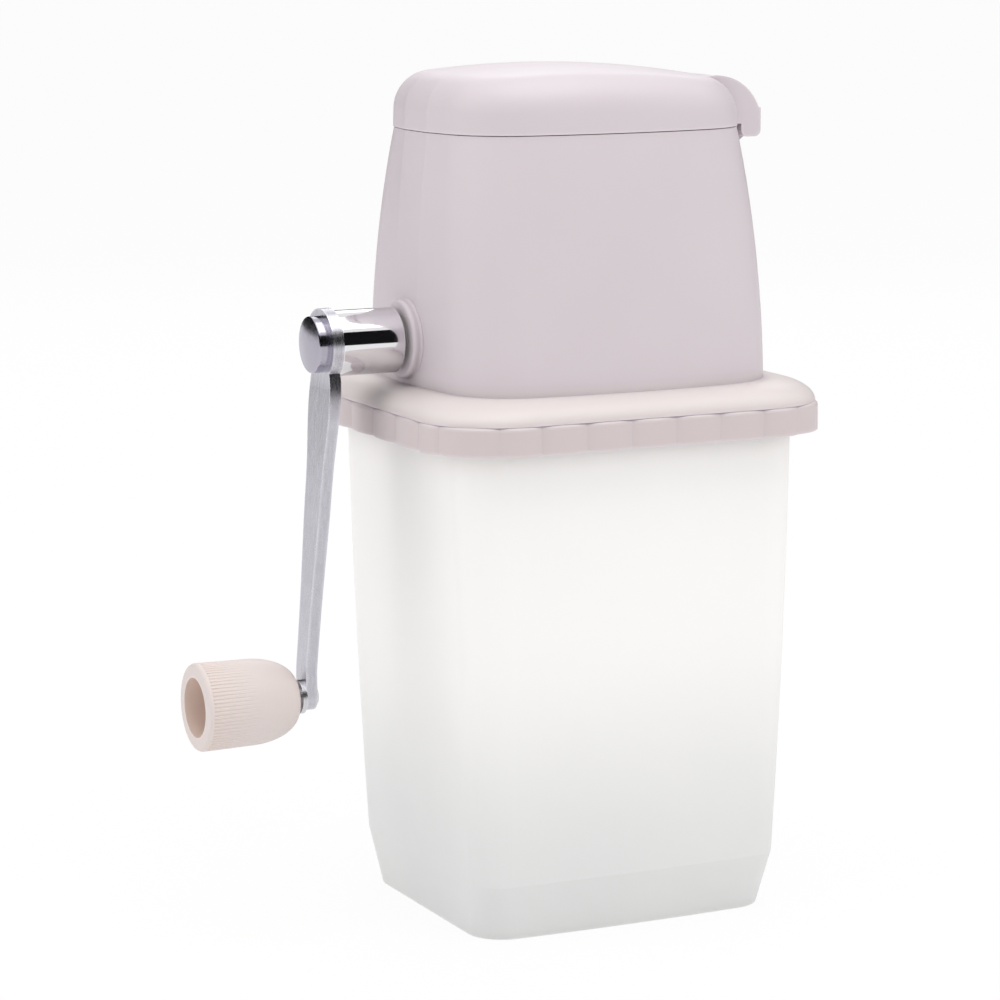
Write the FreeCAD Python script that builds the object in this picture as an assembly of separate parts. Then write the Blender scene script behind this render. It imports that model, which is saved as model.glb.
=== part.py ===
import FreeCAD, Part
import os
from math import atan2, cos, hypot, pi, radians, sin, sqrt, tan

# Hand cranked ice crusher. Millimetres. Z up, the crank shaft lies along X with
# the crank on the -X side, the front faces -Y. The origin is the middle of the
# cup's underside, which stands on the table.

os.makedirs("parts", exist_ok=True)
Vec = FreeCAD.Vector
X_AXIS = Vec(1, 0, 0)
Y_AXIS = Vec(0, 1, 0)
Z_AXIS = Vec(0, 0, 1)

# Ice cup, a translucent moulding that tapers down to a turned-in foot.
CUP_FOOT_WIDTH = 93.0
CUP_FOOT_DEPTH = 82.8
CUP_FOOT_CORNER = 11.0
CUP_SHOULDER_Z = 16.5
CUP_SHOULDER_WIDTH = 97.3
CUP_SHOULDER_DEPTH = 91.2
CUP_SHOULDER_CORNER = 9.5
CUP_RIM_WIDTH = 107.4
CUP_RIM_DEPTH = 100.4
CUP_RIM_CORNER = 14.5
CUP_HEIGHT = 149.0
CUP_BOW = 0.8
CUP_SWELL = 1.0
CUP_WALL = 1.8
CUP_FLOOR = 4.0
CUP_FLOOR_FILLET = 5.0
CUP_LIP_REACH = 1.9
CUP_LIP_THICKNESS = 2.0

# Hopper, a tapered tower on top of a flared collar.
HOPPER_FOOT_Z = 155.6
HOPPER_FOOT_WIDTH = 102.0
HOPPER_FOOT_DEPTH = 93.6
HOPPER_FOOT_CORNER = 20.5
HOPPER_TOP_Z = 228.7
HOPPER_TOP_WIDTH = 94.3
HOPPER_TOP_DEPTH = 77.5
HOPPER_TOP_CORNER = 22.0
HOPPER_BOW = 2.1
HOPPER_KEEL = 1.2
HOPPER_END_FLAT = 7.6
HOPPER_SWELL = 2.6
HOPPER_WALL = 2.2

# Collar, a bullnose that turns down into a skirt of small round lobes.
COLLAR_WIDTH = 125.0
COLLAR_DEPTH = 115.0
COLLAR_CORNER = 24.0
COLLAR_CREST_Z = 156.6
COLLAR_SHOULDER_Z = 150.4
COLLAR_WALL = 2.2
SKIRT_BOTTOM_Z = 142.2
SKIRT_WALL = 2.0
LOBE_FRONT_X = (7.0, 21.0, 35.0)
LOBE_CORNER_TURNS = (22.0, 68.0)
LOBE_END_Y = (32.0, 16.0)
LOBE_RISE = 1.0
LOBE_PROUD = 0.85
LOBE_ROUND = 1.1
COLLAR_RIB_THICKNESS = 1.8
COLLAR_RIBS_FRONT_X = (-36.0, -12.0, 12.0, 36.0)
COLLAR_RIBS_END_Y = (-26.0, 0.0, 26.0)

# Spigot that drops inside the cup's mouth.
SPIGOT_CLEARANCE = 0.5
SPIGOT_DEPTH = 11.0
SPIGOT_WALL = 2.0

# Shaft line.
SHAFT_Z = 169.5
JOURNAL_RADIUS = 4.9
RUNNING_CLEARANCE = 0.06
SQUARE_SIDE = 6.9
SQUARE_CLEARANCE = 0.05
SHAFT_CHAMFER = 0.5

# Bearings in the hopper's end walls.
BOSS_RADIUS = 11.3
BOSS_FACE_X = -53.4
BOSS_ROUND = 1.0
BOSS_FILLET = 0.6
HUB_RADIUS = 10.5
HUB_INNER_X = 43.0
FAR_BORE_END_X = 47.7
BUSH_OUTER_RADIUS = 7.4
BUSH_SEAT_CLEARANCE = 0.05
BUSH_FLANGE_RADIUS = 9.4
BUSH_FLANGE_THICKNESS = 1.3
BUSH_END_RECESS = 0.4

# Rotor, a stack of clawed blades and spacers on the square of the shaft.
BLADE_COUNT = 6
BLADE_PITCH = 13.0
BLADE_THICKNESS = 2.0
BLADE_TIP_RADIUS = 24.0
BLADE_ROOT_RADIUS = 10.0
BLADE_CLAWS = 4
BLADE_STEP_ANGLE = 15.0
CLAW_TIP_ANGLE = 7.0
CLAW_LEAD_ANGLE = 16.0
CLAW_BACK_ANGLE = 46.0
CLAW_HOLLOW = 1.6
SPACER_RADIUS = 7.5
SPACER_BORE_CLEARANCE = 0.12
ROTOR_END_FLOAT = 0.2

# Breaker combs, slotted steel plates that slope down to the rotor.
COMB_THICKNESS = 1.5
COMB_SLOPE = 30.0
COMB_OUTER_Y = 37.0
COMB_OUTER_Z = 183.0
COMB_LENGTH = 30.5
COMB_HALF_WIDTH = 42.0
COMB_CORNER_CUT = 8.5
COMB_SLOT_SIDE_GAP = 1.7
COMB_SLOT_LENGTH = 17.5
COMB_TOOTH_POINT = 2.2
COMB_SCREW_X = (-26.0, 0.0, 26.0)
COMB_SCREW_INSET = 6.0
COMB_RIB_THICKNESS = 3.0
COMB_RIB_REACH = 11.0
COMB_RIB_DROP = 19.0
COMB_BOSS_RADIUS = 3.4
COMB_BOSS_LENGTH = 7.5
SCREW_RADIUS = 1.5
SCREW_HOLE_CLEARANCE = 0.1
SCREW_LENGTH = 7.0
SCREW_HEAD_RADIUS = 2.8
SCREW_HEAD_HEIGHT = 1.8
SCREW_SLOT_WIDTH = 0.7
SCREW_SLOT_DEPTH = 0.8

# Crank: sleeve, arm and cap nut.
SLEEVE_RADIUS = 9.4
SLEEVE_LENGTH = 19.3
SLEEVE_END_GAP = 1.6
SLEEVE_BORE_CLEARANCE = 0.1
SLEEVE_EDGE = 0.5
ARM_THICKNESS = 3.4
ARM_EYE_RADIUS = 10.2
ARM_EYE_WRAP = 50.0
ARM_DROP = 101.6
ARM_LEAN = 5.05
ARM_BEND_BELOW_SHAFT = 9.0
ARM_BEND_RADIUS = 40.0
ARM_HALF_WIDTHS = ((12.0, 7.5), (33.0, 6.2), (48.0, 5.6), (64.0, 4.7), (84.0, 3.9))
ARM_TIP_RADIUS = 4.0
ARM_FOOT_LENGTH = 6.0
ARM_EDGE = 0.4
THREAD_RADIUS = 3.2
THREAD_LENGTH = 2.6
THREAD_CLEARANCE = 0.05
CAP_RADIUS = 8.1
CAP_HEIGHT = 3.2
CAP_DOME = 0.8
CAP_EDGE = 0.5

# Knob and its shoulder screw. Distances run out from the arm's outer face.
KNOB_START = 2.6
KNOB_LENGTH = 30.0
KNOB_RADIUS = 12.65
KNOB_DOME_RADIUS = 12.4
KNOB_NECK_RADIUS = 5.2
KNOB_DOME_LENGTH = 14.0
KNOB_MOUTH_ROUND = 1.3
KNOB_HOLE_RADIUS = 8.6
KNOB_HOLE_DEPTH = 13.0
KNOB_GROOVES = 72
KNOB_GROOVE_RADIUS = 0.36
KNOB_GROOVE_DEPTH = 0.26
SPINDLE_RADIUS = 3.0
SPINDLE_HEAD_RADIUS = 5.6
SPINDLE_HEAD_HEIGHT = 2.6
SPINDLE_HEAD_GAP = 0.15
SPINDLE_SLOT_WIDTH = 1.0
SPINDLE_SLOT_DEPTH = 1.1
RIVET_RADIUS = 3.9
RIVET_HEIGHT = 0.9
RIVET_CHAMFER = 1.2
WASHER_RADIUS = 4.9
WASHER_THICKNESS = 1.3

# Lid, a crowned shell hinged at the +X end.
LID_SEAM_GAP = 0.25
LID_OVERSIZE = 0.5
LID_SIDE_DRAFT = 0.6
LID_HEIGHT = 18.3
LID_CROWN_RADIUS = 260.0
LID_CROWN_X = -7.0
LID_EDGE_ROUND = 11.2
LID_WALL = 2.0
LID_RIM_DEPTH = 4.0
LID_RIM_WALL = 1.6
LID_RIM_CLEARANCE = 0.4
HINGE_SETBACK = 3.5
HINGE_DROP = 0.4
HINGE_PIN_RADIUS = 1.25
HINGE_CHEEK_HALF = 3.2
HINGE_CHEEK_ROUND = 2.0
HINGE_CHEEK_THICKNESS = 4.6
HINGE_HALF_LENGTH = 20.0
HINGE_SIDE_GAP = 0.35
HINGE_KNUCKLE_RADIUS = 2.9
HINGE_KNUCKLE_ROOT_DROP = 7.0
HINGE_HOOD_WALL = 1.7
HINGE_HOOD_GAP = 0.5
HINGE_HOOD_FULLNESS = 0.72
HINGE_PIN_END_INSET = 0.4
HINGE_BLIND_WALL = 1.2

# Sections drawn along curved walls and rounds.
LOFT_STEPS = 4
FILLET_STEPS = 3
BULLNOSE_STEPS = 5

# Sizes that follow from the ones above.
LID_BASE_Z = HOPPER_TOP_Z + LID_SEAM_GAP
LID_TOP_Z = LID_BASE_Z + LID_HEIGHT
HINGE_X = HOPPER_TOP_WIDTH / 2 + HINGE_SETBACK
HINGE_Z = HOPPER_TOP_Z - HINGE_DROP
HINGE_PIN_START_Y = -HINGE_HALF_LENGTH + HINGE_BLIND_WALL
SLEEVE_INNER_X = BOSS_FACE_X - SLEEVE_END_GAP
SLEEVE_OUTER_X = SLEEVE_INNER_X - SLEEVE_LENGTH
ARM_OUTER_X = SLEEVE_OUTER_X - ARM_THICKNESS
ARM_BEND_Z = SHAFT_Z - ARM_BEND_BELOW_SHAFT
KNOB_Z = SHAFT_Z - ARM_DROP
BLADE_FIRST_X = -BLADE_PITCH * (BLADE_COUNT - 1) / 2
BUSH_FLANGE_X = HUB_INNER_X - BUSH_FLANGE_THICKNESS
ROTOR_END_X = BUSH_FLANGE_X - ROTOR_END_FLOAT
COLLAR_GROWTH = (COLLAR_WIDTH - HOPPER_FOOT_WIDTH) / 2
COLLAR_CORE_X = COLLAR_WIDTH / 2 - COLLAR_CORNER
COLLAR_CORE_Y = COLLAR_DEPTH / 2 - COLLAR_CORNER
KNOB_END = KNOB_START + KNOB_LENGTH
KNOB_HOLE_START = KNOB_END - KNOB_HOLE_DEPTH


def lerp(low, high, share):
    return low + (high - low) * share


def save(shape, node):
    shape.exportStep("parts/%s.step" % node)


def solid_of(shape):
    return shape.removeSplitter()


def loft(wires, ruled=True):
    return Part.makeLoft(wires, True, ruled)


def levels(low, high):
    return [lerp(low, high, step / LOFT_STEPS) for step in range(LOFT_STEPS + 1)]


def quarter_turn(steps):
    return [90 * step / steps for step in range(steps + 1)]


def swell(amount, share):
    """Extra width of a wall that bellies out between its two ends."""
    return 4 * amount * share * (1 - share)


def rod_x(x_from, x_to, radius, y=0.0, z=SHAFT_Z):
    return Part.makeCylinder(radius, x_to - x_from, Vec(x_from, y, z), X_AXIS)


def tube_x(x_from, x_to, outer, inner, y=0.0, z=SHAFT_Z):
    return rod_x(x_from, x_to, outer, y, z).cut(rod_x(x_from, x_to, inner, y, z))


def rod_y(y_from, y_to, radius, x, z):
    return Part.makeCylinder(radius, y_to - y_from, Vec(x, y_from, z), Y_AXIS)


def box_span(x_span, y_span, z_span):
    corner = Vec(x_span[0], y_span[0], z_span[0])
    return Part.makeBox(x_span[1] - x_span[0], y_span[1] - y_span[0],
                        z_span[1] - z_span[0], corner)


def outline(width, depth, corner, z, bow=0.0, keel=0.0, flat=0.0):
    """Rounded rectangle at height z. The long sides swell by bow, and each end has
    a flat middle band, flat to either side of Y = 0, that stands keel proud."""
    core_y = depth / 2 - corner - bow
    tilt = atan2(keel, core_y - flat)
    end_reach = corner * cos(tilt) + tan(tilt) * (core_y + corner * sin(tilt) - flat)
    core_x = width / 2 - end_reach
    if bow:
        side_radius = (core_x ** 2 + bow ** 2) / (2 * bow)
        swing = atan2(core_x, side_radius - bow)
    else:
        swing = 0.0
    side_normal = (sin(swing), cos(swing))
    end_normal = (cos(tilt), sin(tilt))
    middle = (side_normal[0] + end_normal[0], side_normal[1] + end_normal[1])
    length = hypot(*middle)
    middle = (middle[0] / length, middle[1] / length)

    def place(normal, sign_x, sign_y):
        return Vec(sign_x * (core_x + corner * normal[0]),
                   sign_y * (core_y + corner * normal[1]), z)

    def side(sign_y, sign_from):
        start = place(side_normal, sign_from, sign_y)
        end = place(side_normal, -sign_from, sign_y)
        if not bow:
            return Part.makeLine(start, end)
        return Part.Arc(start, Vec(0, sign_y * depth / 2, z), end).toShape()

    def corner_arc(sign_x, sign_y, first, last):
        return Part.Arc(place(first, sign_x, sign_y), place(middle, sign_x, sign_y),
                        place(last, sign_x, sign_y)).toShape()

    def end_lines(sign_x, sign_from):
        start = place(end_normal, sign_x, sign_from)
        end = place(end_normal, sign_x, -sign_from)
        if not keel:
            return [Part.makeLine(start, end)]
        first = Vec(sign_x * width / 2, sign_from * flat, z)
        second = Vec(sign_x * width / 2, -sign_from * flat, z)
        return [Part.makeLine(start, first), Part.makeLine(first, second),
                Part.makeLine(second, end)]

    edges = [side(-1, -1), corner_arc(1, -1, side_normal, end_normal)]
    edges += end_lines(1, -1)
    edges += [corner_arc(1, 1, end_normal, side_normal), side(1, 1)]
    edges += [corner_arc(-1, 1, side_normal, end_normal)]
    edges += end_lines(-1, 1)
    edges += [corner_arc(-1, -1, end_normal, side_normal)]
    return Part.Wire(edges)


def prism(wire, height):
    return Part.Face(wire).extrude(Vec(0, 0, height))


# Cup.

def cup_outline(z, inset=0.0):
    if z < CUP_SHOULDER_Z:
        share = z / CUP_SHOULDER_Z
        width = lerp(CUP_FOOT_WIDTH, CUP_SHOULDER_WIDTH, share)
        depth = lerp(CUP_FOOT_DEPTH, CUP_SHOULDER_DEPTH, share)
        corner = lerp(CUP_FOOT_CORNER, CUP_SHOULDER_CORNER, share)
    else:
        share = (z - CUP_SHOULDER_Z) / (CUP_HEIGHT - CUP_SHOULDER_Z)
        belly = swell(CUP_SWELL, share)
        width = lerp(CUP_SHOULDER_WIDTH, CUP_RIM_WIDTH, share) + belly
        depth = lerp(CUP_SHOULDER_DEPTH, CUP_RIM_DEPTH, share) + belly
        corner = lerp(CUP_SHOULDER_CORNER, CUP_RIM_CORNER, share)
    return outline(width - 2 * inset, depth - 2 * inset, corner - inset, z, CUP_BOW)


def cup_wall(inset):
    """The cup's body from its shoulder up to its rim."""
    sections = [cup_outline(z, inset) for z in levels(CUP_SHOULDER_Z, CUP_HEIGHT)]
    return loft(sections, False)


def ice_cup():
    outer = loft([cup_outline(0), cup_outline(CUP_SHOULDER_Z)]).fuse(cup_wall(0))
    lip = prism(outline(CUP_RIM_WIDTH + 2 * CUP_LIP_REACH, CUP_RIM_DEPTH + 2 * CUP_LIP_REACH,
                        CUP_RIM_CORNER + CUP_LIP_REACH, CUP_HEIGHT - CUP_LIP_THICKNESS,
                        CUP_BOW), CUP_LIP_THICKNESS)
    rounded_z = CUP_FLOOR + CUP_FLOOR_FILLET
    floor_steps = []
    for turn in quarter_turn(FILLET_STEPS):
        rise = CUP_FLOOR_FILLET * (1 - cos(radians(turn)))
        inset = CUP_WALL + CUP_FLOOR_FILLET * (1 - sin(radians(turn)))
        floor_steps.append(cup_outline(CUP_FLOOR + rise, inset))
    hollow = loft(floor_steps)
    lower = loft([cup_outline(rounded_z, CUP_WALL), cup_outline(CUP_SHOULDER_Z, CUP_WALL)])
    return solid_of(outer.fuse(lip).cut(hollow.fuse([lower, cup_wall(CUP_WALL)])))


# Hopper housing.

def hopper_share(z):
    return (z - HOPPER_FOOT_Z) / (HOPPER_TOP_Z - HOPPER_FOOT_Z)


def hopper_half_width(z):
    share = hopper_share(z)
    return (lerp(HOPPER_FOOT_WIDTH, HOPPER_TOP_WIDTH, share) + swell(HOPPER_SWELL, share)) / 2


def hopper_outline(z, inset=0.0):
    share = hopper_share(z)
    depth = lerp(HOPPER_FOOT_DEPTH, HOPPER_TOP_DEPTH, share) + swell(HOPPER_SWELL, share)
    corner = lerp(HOPPER_FOOT_CORNER, HOPPER_TOP_CORNER, share)
    return outline(2 * (hopper_half_width(z) - inset), depth - 2 * inset, corner - inset, z,
                   HOPPER_BOW, HOPPER_KEEL, HOPPER_END_FLAT)


def hopper_tower(inset, z_from, z_to):
    return loft([hopper_outline(z, inset) for z in levels(z_from, z_to)], False)


def collar_outline(growth, z):
    share = growth / COLLAR_GROWTH
    width = HOPPER_FOOT_WIDTH + 2 * growth
    depth = lerp(HOPPER_FOOT_DEPTH, COLLAR_DEPTH, share)
    corner = lerp(HOPPER_FOOT_CORNER, COLLAR_CORNER, share)
    return outline(width, depth, corner, z)


def bullnose(inset, ruled=True):
    """Quarter-oval shoulder from the tower's foot out to the skirt."""
    crest = COLLAR_CREST_Z - inset
    drop = COLLAR_CREST_Z - COLLAR_SHOULDER_Z
    reach = COLLAR_GROWTH - LOBE_PROUD
    sections = []
    for turn in quarter_turn(BULLNOSE_STEPS):
        growth = reach * sin(radians(turn)) - inset
        sections.append(collar_outline(growth, crest - drop * (1 - cos(radians(turn)))))
    return loft(list(reversed(sections)), ruled)


def lobe_valleys(inset, z):
    """Where one lobe meets the next, once round the skirt from the front."""
    reach = COLLAR_CORNER - LOBE_RISE - inset
    quarter = [(x, COLLAR_CORE_Y + reach) for x in LOBE_FRONT_X]
    for turn in LOBE_CORNER_TURNS:
        quarter.append((COLLAR_CORE_X + reach * sin(radians(turn)),
                        COLLAR_CORE_Y + reach * cos(radians(turn))))
    quarter += [(COLLAR_CORE_X + reach, y) for y in LOBE_END_Y]
    right = [Vec(x, -y, z) for x, y in quarter]
    right.append(Vec(COLLAR_CORE_X + reach, 0, z))
    right += [Vec(x, y, z) for x, y in reversed(quarter)]
    return right + [Vec(-point.x, -point.y, z) for point in right]


def lobe_crown(start, end, inset):
    """Middle of a lobe, on the collar's full outline."""
    middle = (start + end) / 2
    core = Vec(min(max(middle.x, -COLLAR_CORE_X), COLLAR_CORE_X),
               min(max(middle.y, -COLLAR_CORE_Y), COLLAR_CORE_Y), middle.z)
    return core + (middle - core).normalize() * (COLLAR_CORNER - inset)


def lobed_wire(inset, z):
    points = lobe_valleys(inset, z)
    edges = []
    for start, end in zip(points, points[1:] + points[:1]):
        edges.append(Part.Arc(start, lobe_crown(start, end, inset), end).toShape())
    return Part.Wire(edges)


def skirt():
    """Lobed skirt whose upper edge is rounded over under the bullnose."""
    sections = []
    for turn in quarter_turn(FILLET_STEPS):
        inset = LOBE_ROUND * (1 - cos(radians(turn)))
        z = COLLAR_SHOULDER_Z - LOBE_ROUND * (1 - sin(radians(turn)))
        sections.append(lobed_wire(inset, z))
    below = prism(lobed_wire(0, SKIRT_BOTTOM_Z), COLLAR_SHOULDER_Z - LOBE_ROUND - SKIRT_BOTTOM_Z)
    return below.fuse(loft(sections))


def collar_hollow():
    inner = collar_outline(COLLAR_GROWTH - LOBE_RISE - SKIRT_WALL, SKIRT_BOTTOM_Z)
    return prism(inner, COLLAR_SHOULDER_Z - COLLAR_WALL - SKIRT_BOTTOM_Z).fuse(bullnose(COLLAR_WALL))


def spigot_outline(inset=0.0):
    return cup_outline(CUP_HEIGHT - SPIGOT_DEPTH, CUP_WALL + SPIGOT_CLEARANCE + inset)


def spigot():
    height = COLLAR_CREST_Z - COLLAR_WALL - (CUP_HEIGHT - SPIGOT_DEPTH) + COLLAR_WALL / 4
    return prism(spigot_outline(), height).cut(prism(spigot_outline(SPIGOT_WALL), height))


def collar_ribs():
    """Ribs under the bullnose, whose lower edges rest on the cup's rim."""
    half = COLLAR_RIB_THICKNESS / 2
    z_span = (CUP_HEIGHT, COLLAR_CREST_Z)
    across = COLLAR_WIDTH / 2
    along = COLLAR_DEPTH / 2
    bars = [box_span((x - half, x + half), (-along, along), z_span) for x in COLLAR_RIBS_FRONT_X]
    bars += [box_span((-across, across), (y - half, y + half), z_span) for y in COLLAR_RIBS_END_Y]
    within = collar_outline(COLLAR_GROWTH - LOBE_RISE - SKIRT_WALL / 2, CUP_HEIGHT)
    room = bullnose(COLLAR_WALL / 2).fuse(prism(within, COLLAR_SHOULDER_Z - COLLAR_WALL - CUP_HEIGHT))
    core = prism(spigot_outline(SPIGOT_WALL / 2), 2 * (COLLAR_CREST_Z - CUP_HEIGHT) + SPIGOT_DEPTH)
    return [bar.common(room).cut(core) for bar in bars]


def comb_point(along, above):
    """Front comb's side view: along its slope from the outer edge, and above
    its underside. Gives Y and Z."""
    tilt = radians(COMB_SLOPE)
    return (-COMB_OUTER_Y + along * cos(tilt) + above * sin(tilt),
            COMB_OUTER_Z - along * sin(tilt) + above * cos(tilt))


def comb_supports():
    """Gusset ribs with screw bosses under the front comb."""
    y_wall = -HOPPER_FOOT_DEPTH / 2
    top_out = comb_point(-COMB_OUTER_Y, 0)
    top_in = comb_point(COMB_RIB_REACH, 0)
    gusset = [Vec(0, *top_out), Vec(0, *top_in),
              Vec(0, top_in[0], top_in[1] - COMB_RIB_THICKNESS),
              Vec(0, y_wall, COMB_OUTER_Z - COMB_RIB_DROP)]
    face = Part.Face(Part.makePolygon(gusset + [gusset[0]]))
    tilt = radians(COMB_SLOPE)
    down = Vec(0, -sin(tilt), -cos(tilt))
    parts = []
    for x in COMB_SCREW_X:
        rib = face.extrude(Vec(COMB_RIB_THICKNESS, 0, 0))
        rib.translate(Vec(x - COMB_RIB_THICKNESS / 2, 0, 0))
        seat = Vec(x, *comb_point(COMB_SCREW_INSET, 0))
        parts.append(rib.fuse(Part.makeCylinder(COMB_BOSS_RADIUS, COMB_BOSS_LENGTH, seat, down)))
    return parts


def comb_screw_holes():
    tilt = radians(COMB_SLOPE)
    down = Vec(0, -sin(tilt), -cos(tilt))
    depth = SCREW_LENGTH - COMB_THICKNESS + SCREW_HOLE_CLEARANCE
    return [Part.makeCylinder(SCREW_RADIUS, depth, Vec(x, *comb_point(COMB_SCREW_INSET, 0)), down)
            for x in COMB_SCREW_X]


def half_turn(shape):
    turned = shape.copy()
    turned.rotate(Vec(0, 0, 0), Z_AXIS, 180)
    return turned


def crank_boss():
    """Boss with a rounded rim, faired into the end wall by a small hollow fillet."""
    wall_x = -hopper_half_width(SHAFT_Z)
    rim_x = BOSS_FACE_X + BOSS_ROUND
    fillet_x = wall_x - BOSS_FILLET
    slant = sin(pi / 4)
    face_edge = Vec(BOSS_FACE_X, 0, BOSS_RADIUS - BOSS_ROUND)
    rim_middle = Vec(rim_x - BOSS_ROUND * slant, 0, BOSS_RADIUS - BOSS_ROUND * (1 - slant))
    rim = Vec(rim_x, 0, BOSS_RADIUS)
    fillet_start = Vec(fillet_x, 0, BOSS_RADIUS)
    fillet_middle = Vec(fillet_x + BOSS_FILLET * slant, 0, BOSS_RADIUS + BOSS_FILLET * (1 - slant))
    root = Vec(wall_x, 0, BOSS_RADIUS + BOSS_FILLET)
    inner_root = Vec(wall_x + HOPPER_WALL / 2, 0, root.z)
    profile = Part.Wire([
        Part.makeLine(Vec(BOSS_FACE_X, 0, 0), face_edge),
        Part.Arc(face_edge, rim_middle, rim).toShape(),
        Part.makeLine(rim, fillet_start),
        Part.Arc(fillet_start, fillet_middle, root).toShape(),
        Part.makeLine(root, inner_root),
        Part.makeLine(inner_root, Vec(inner_root.x, 0, 0)),
        Part.makeLine(Vec(inner_root.x, 0, 0), Vec(BOSS_FACE_X, 0, 0))])
    boss = Part.Face(profile).revolve(Vec(0, 0, 0), X_AXIS, 360)
    boss.translate(Vec(0, 0, SHAFT_Z))
    return boss


def hinge_knuckle():
    half = HINGE_HALF_LENGTH - HINGE_CHEEK_THICKNESS - HINGE_SIDE_GAP
    barrel = rod_y(-half, half, HINGE_KNUCKLE_RADIUS, HINGE_X, HINGE_Z)
    wall_x = hopper_half_width(HOPPER_TOP_Z) - HOPPER_WALL / 2
    side = [Vec(wall_x, -half, HINGE_Z - HINGE_KNUCKLE_ROOT_DROP),
            Vec(HINGE_X + HINGE_KNUCKLE_RADIUS * cos(pi / 4), -half,
                HINGE_Z - HINGE_KNUCKLE_RADIUS * sin(pi / 4)),
            Vec(HINGE_X, -half, HINGE_Z), Vec(wall_x, -half, HINGE_Z)]
    web = Part.Face(Part.makePolygon(side + [side[0]])).extrude(Vec(0, 2 * half, 0))
    bore = rod_y(-half, half, HINGE_PIN_RADIUS + RUNNING_CLEARANCE, HINGE_X, HINGE_Z)
    return barrel.fuse(web).cut(bore)


def hopper_housing():
    tower = hopper_tower(0, HOPPER_FOOT_Z - 1, HOPPER_TOP_Z)
    shell = tower.fuse([bullnose(0, False), skirt()]).cut(collar_hollow())
    shell = shell.fuse([spigot()] + collar_ribs())
    hollow = hopper_tower(HOPPER_WALL, CUP_HEIGHT - SPIGOT_DEPTH, HOPPER_TOP_Z)
    shell = shell.cut(hollow)
    supports = comb_supports()
    supports += [half_turn(part) for part in supports]
    hubs = [rod_x(-hopper_half_width(SHAFT_Z) + HOPPER_WALL / 2, -HUB_INNER_X, HUB_RADIUS),
            rod_x(HUB_INNER_X, hopper_half_width(SHAFT_Z) - HOPPER_WALL / 2, HUB_RADIUS)]
    room = hopper_tower(HOPPER_WALL / 2, SKIRT_BOTTOM_Z, HOPPER_TOP_Z)
    inside = [part.common(room) for part in supports]
    shell = shell.fuse(inside + hubs + [crank_boss(), hinge_knuckle()])
    bore = BUSH_OUTER_RADIUS + BUSH_SEAT_CLEARANCE
    holes = comb_screw_holes()
    holes += [half_turn(hole) for hole in holes]
    holes += [rod_x(BOSS_FACE_X, -HUB_INNER_X, bore), rod_x(HUB_INNER_X, FAR_BORE_END_X, bore)]
    return solid_of(shell.cut(holes))


# Breaker combs and their screws.

def comb_blank():
    """Comb lying flat: X along the shaft, Y inward from its outer edge."""
    tooth_half = (BLADE_PITCH - BLADE_THICKNESS) / 2 - COMB_SLOT_SIDE_GAP
    points = [(-COMB_HALF_WIDTH, COMB_CORNER_CUT), (-COMB_HALF_WIDTH + COMB_CORNER_CUT, 0),
              (COMB_HALF_WIDTH - COMB_CORNER_CUT, 0), (COMB_HALF_WIDTH, COMB_CORNER_CUT)]
    root = COMB_LENGTH - COMB_SLOT_LENGTH
    for tooth in range(BLADE_COUNT, -1, -1):
        middle = BLADE_FIRST_X + BLADE_PITCH * (tooth - 0.5)
        right = min(middle + tooth_half, COMB_HALF_WIDTH)
        left = max(middle - tooth_half, -COMB_HALF_WIDTH)
        if tooth < BLADE_COUNT:
            points.append((right, root))
        points += [(right, COMB_LENGTH - COMB_TOOTH_POINT), (middle, COMB_LENGTH),
                   (left, COMB_LENGTH - COMB_TOOTH_POINT)]
        if tooth > 0:
            points.append((left, root))
    wire = Part.makePolygon([Vec(x, y, 0) for x, y in points + points[:1]])
    blank = Part.Face(wire).extrude(Vec(0, 0, COMB_THICKNESS))
    hole = SCREW_RADIUS + SCREW_HOLE_CLEARANCE
    return blank.cut([Part.makeCylinder(hole, COMB_THICKNESS, Vec(x, COMB_SCREW_INSET, 0))
                      for x in COMB_SCREW_X])


def front_comb():
    comb = comb_blank()
    comb.rotate(Vec(0, 0, 0), X_AXIS, -COMB_SLOPE)
    comb.translate(Vec(0, -COMB_OUTER_Y, COMB_OUTER_Z))
    return comb


def comb_screw():
    head = Part.makeCylinder(SCREW_HEAD_RADIUS, SCREW_HEAD_HEIGHT, Vec(0, 0, 0))
    top = [edge for edge in head.Edges if edge.BoundBox.ZMin > SCREW_HEAD_HEIGHT / 2]
    head = head.makeFillet(SCREW_HEAD_HEIGHT / 2, top)
    slot = box_span((-SCREW_HEAD_RADIUS, SCREW_HEAD_RADIUS),
                    (-SCREW_SLOT_WIDTH / 2, SCREW_SLOT_WIDTH / 2),
                    (SCREW_HEAD_HEIGHT - SCREW_SLOT_DEPTH, SCREW_HEAD_HEIGHT))
    shank = Part.makeCylinder(SCREW_RADIUS, SCREW_LENGTH, Vec(0, 0, -SCREW_LENGTH))
    return head.cut(slot).fuse(shank)


def comb_screws():
    front = []
    for x in COMB_SCREW_X:
        screw = comb_screw()
        screw.rotate(Vec(0, 0, 0), X_AXIS, -COMB_SLOPE)
        screw.translate(Vec(x, *comb_point(COMB_SCREW_INSET, COMB_THICKNESS)))
        front.append(screw)
    return Part.makeCompound(front + [half_turn(screw) for screw in front])


# Bearings.

def bush(outer_end_x):
    """Flanged bush for the crank side, flange on the inside."""
    bore = JOURNAL_RADIUS + RUNNING_CLEARANCE
    barrel = rod_x(outer_end_x, -HUB_INNER_X, BUSH_OUTER_RADIUS)
    flange = rod_x(-HUB_INNER_X, -BUSH_FLANGE_X, BUSH_FLANGE_RADIUS)
    return solid_of(barrel.fuse(flange).cut(rod_x(outer_end_x, -BUSH_FLANGE_X, bore)))


def crank_side_bush():
    return bush(BOSS_FACE_X + BUSH_END_RECESS)


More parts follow.
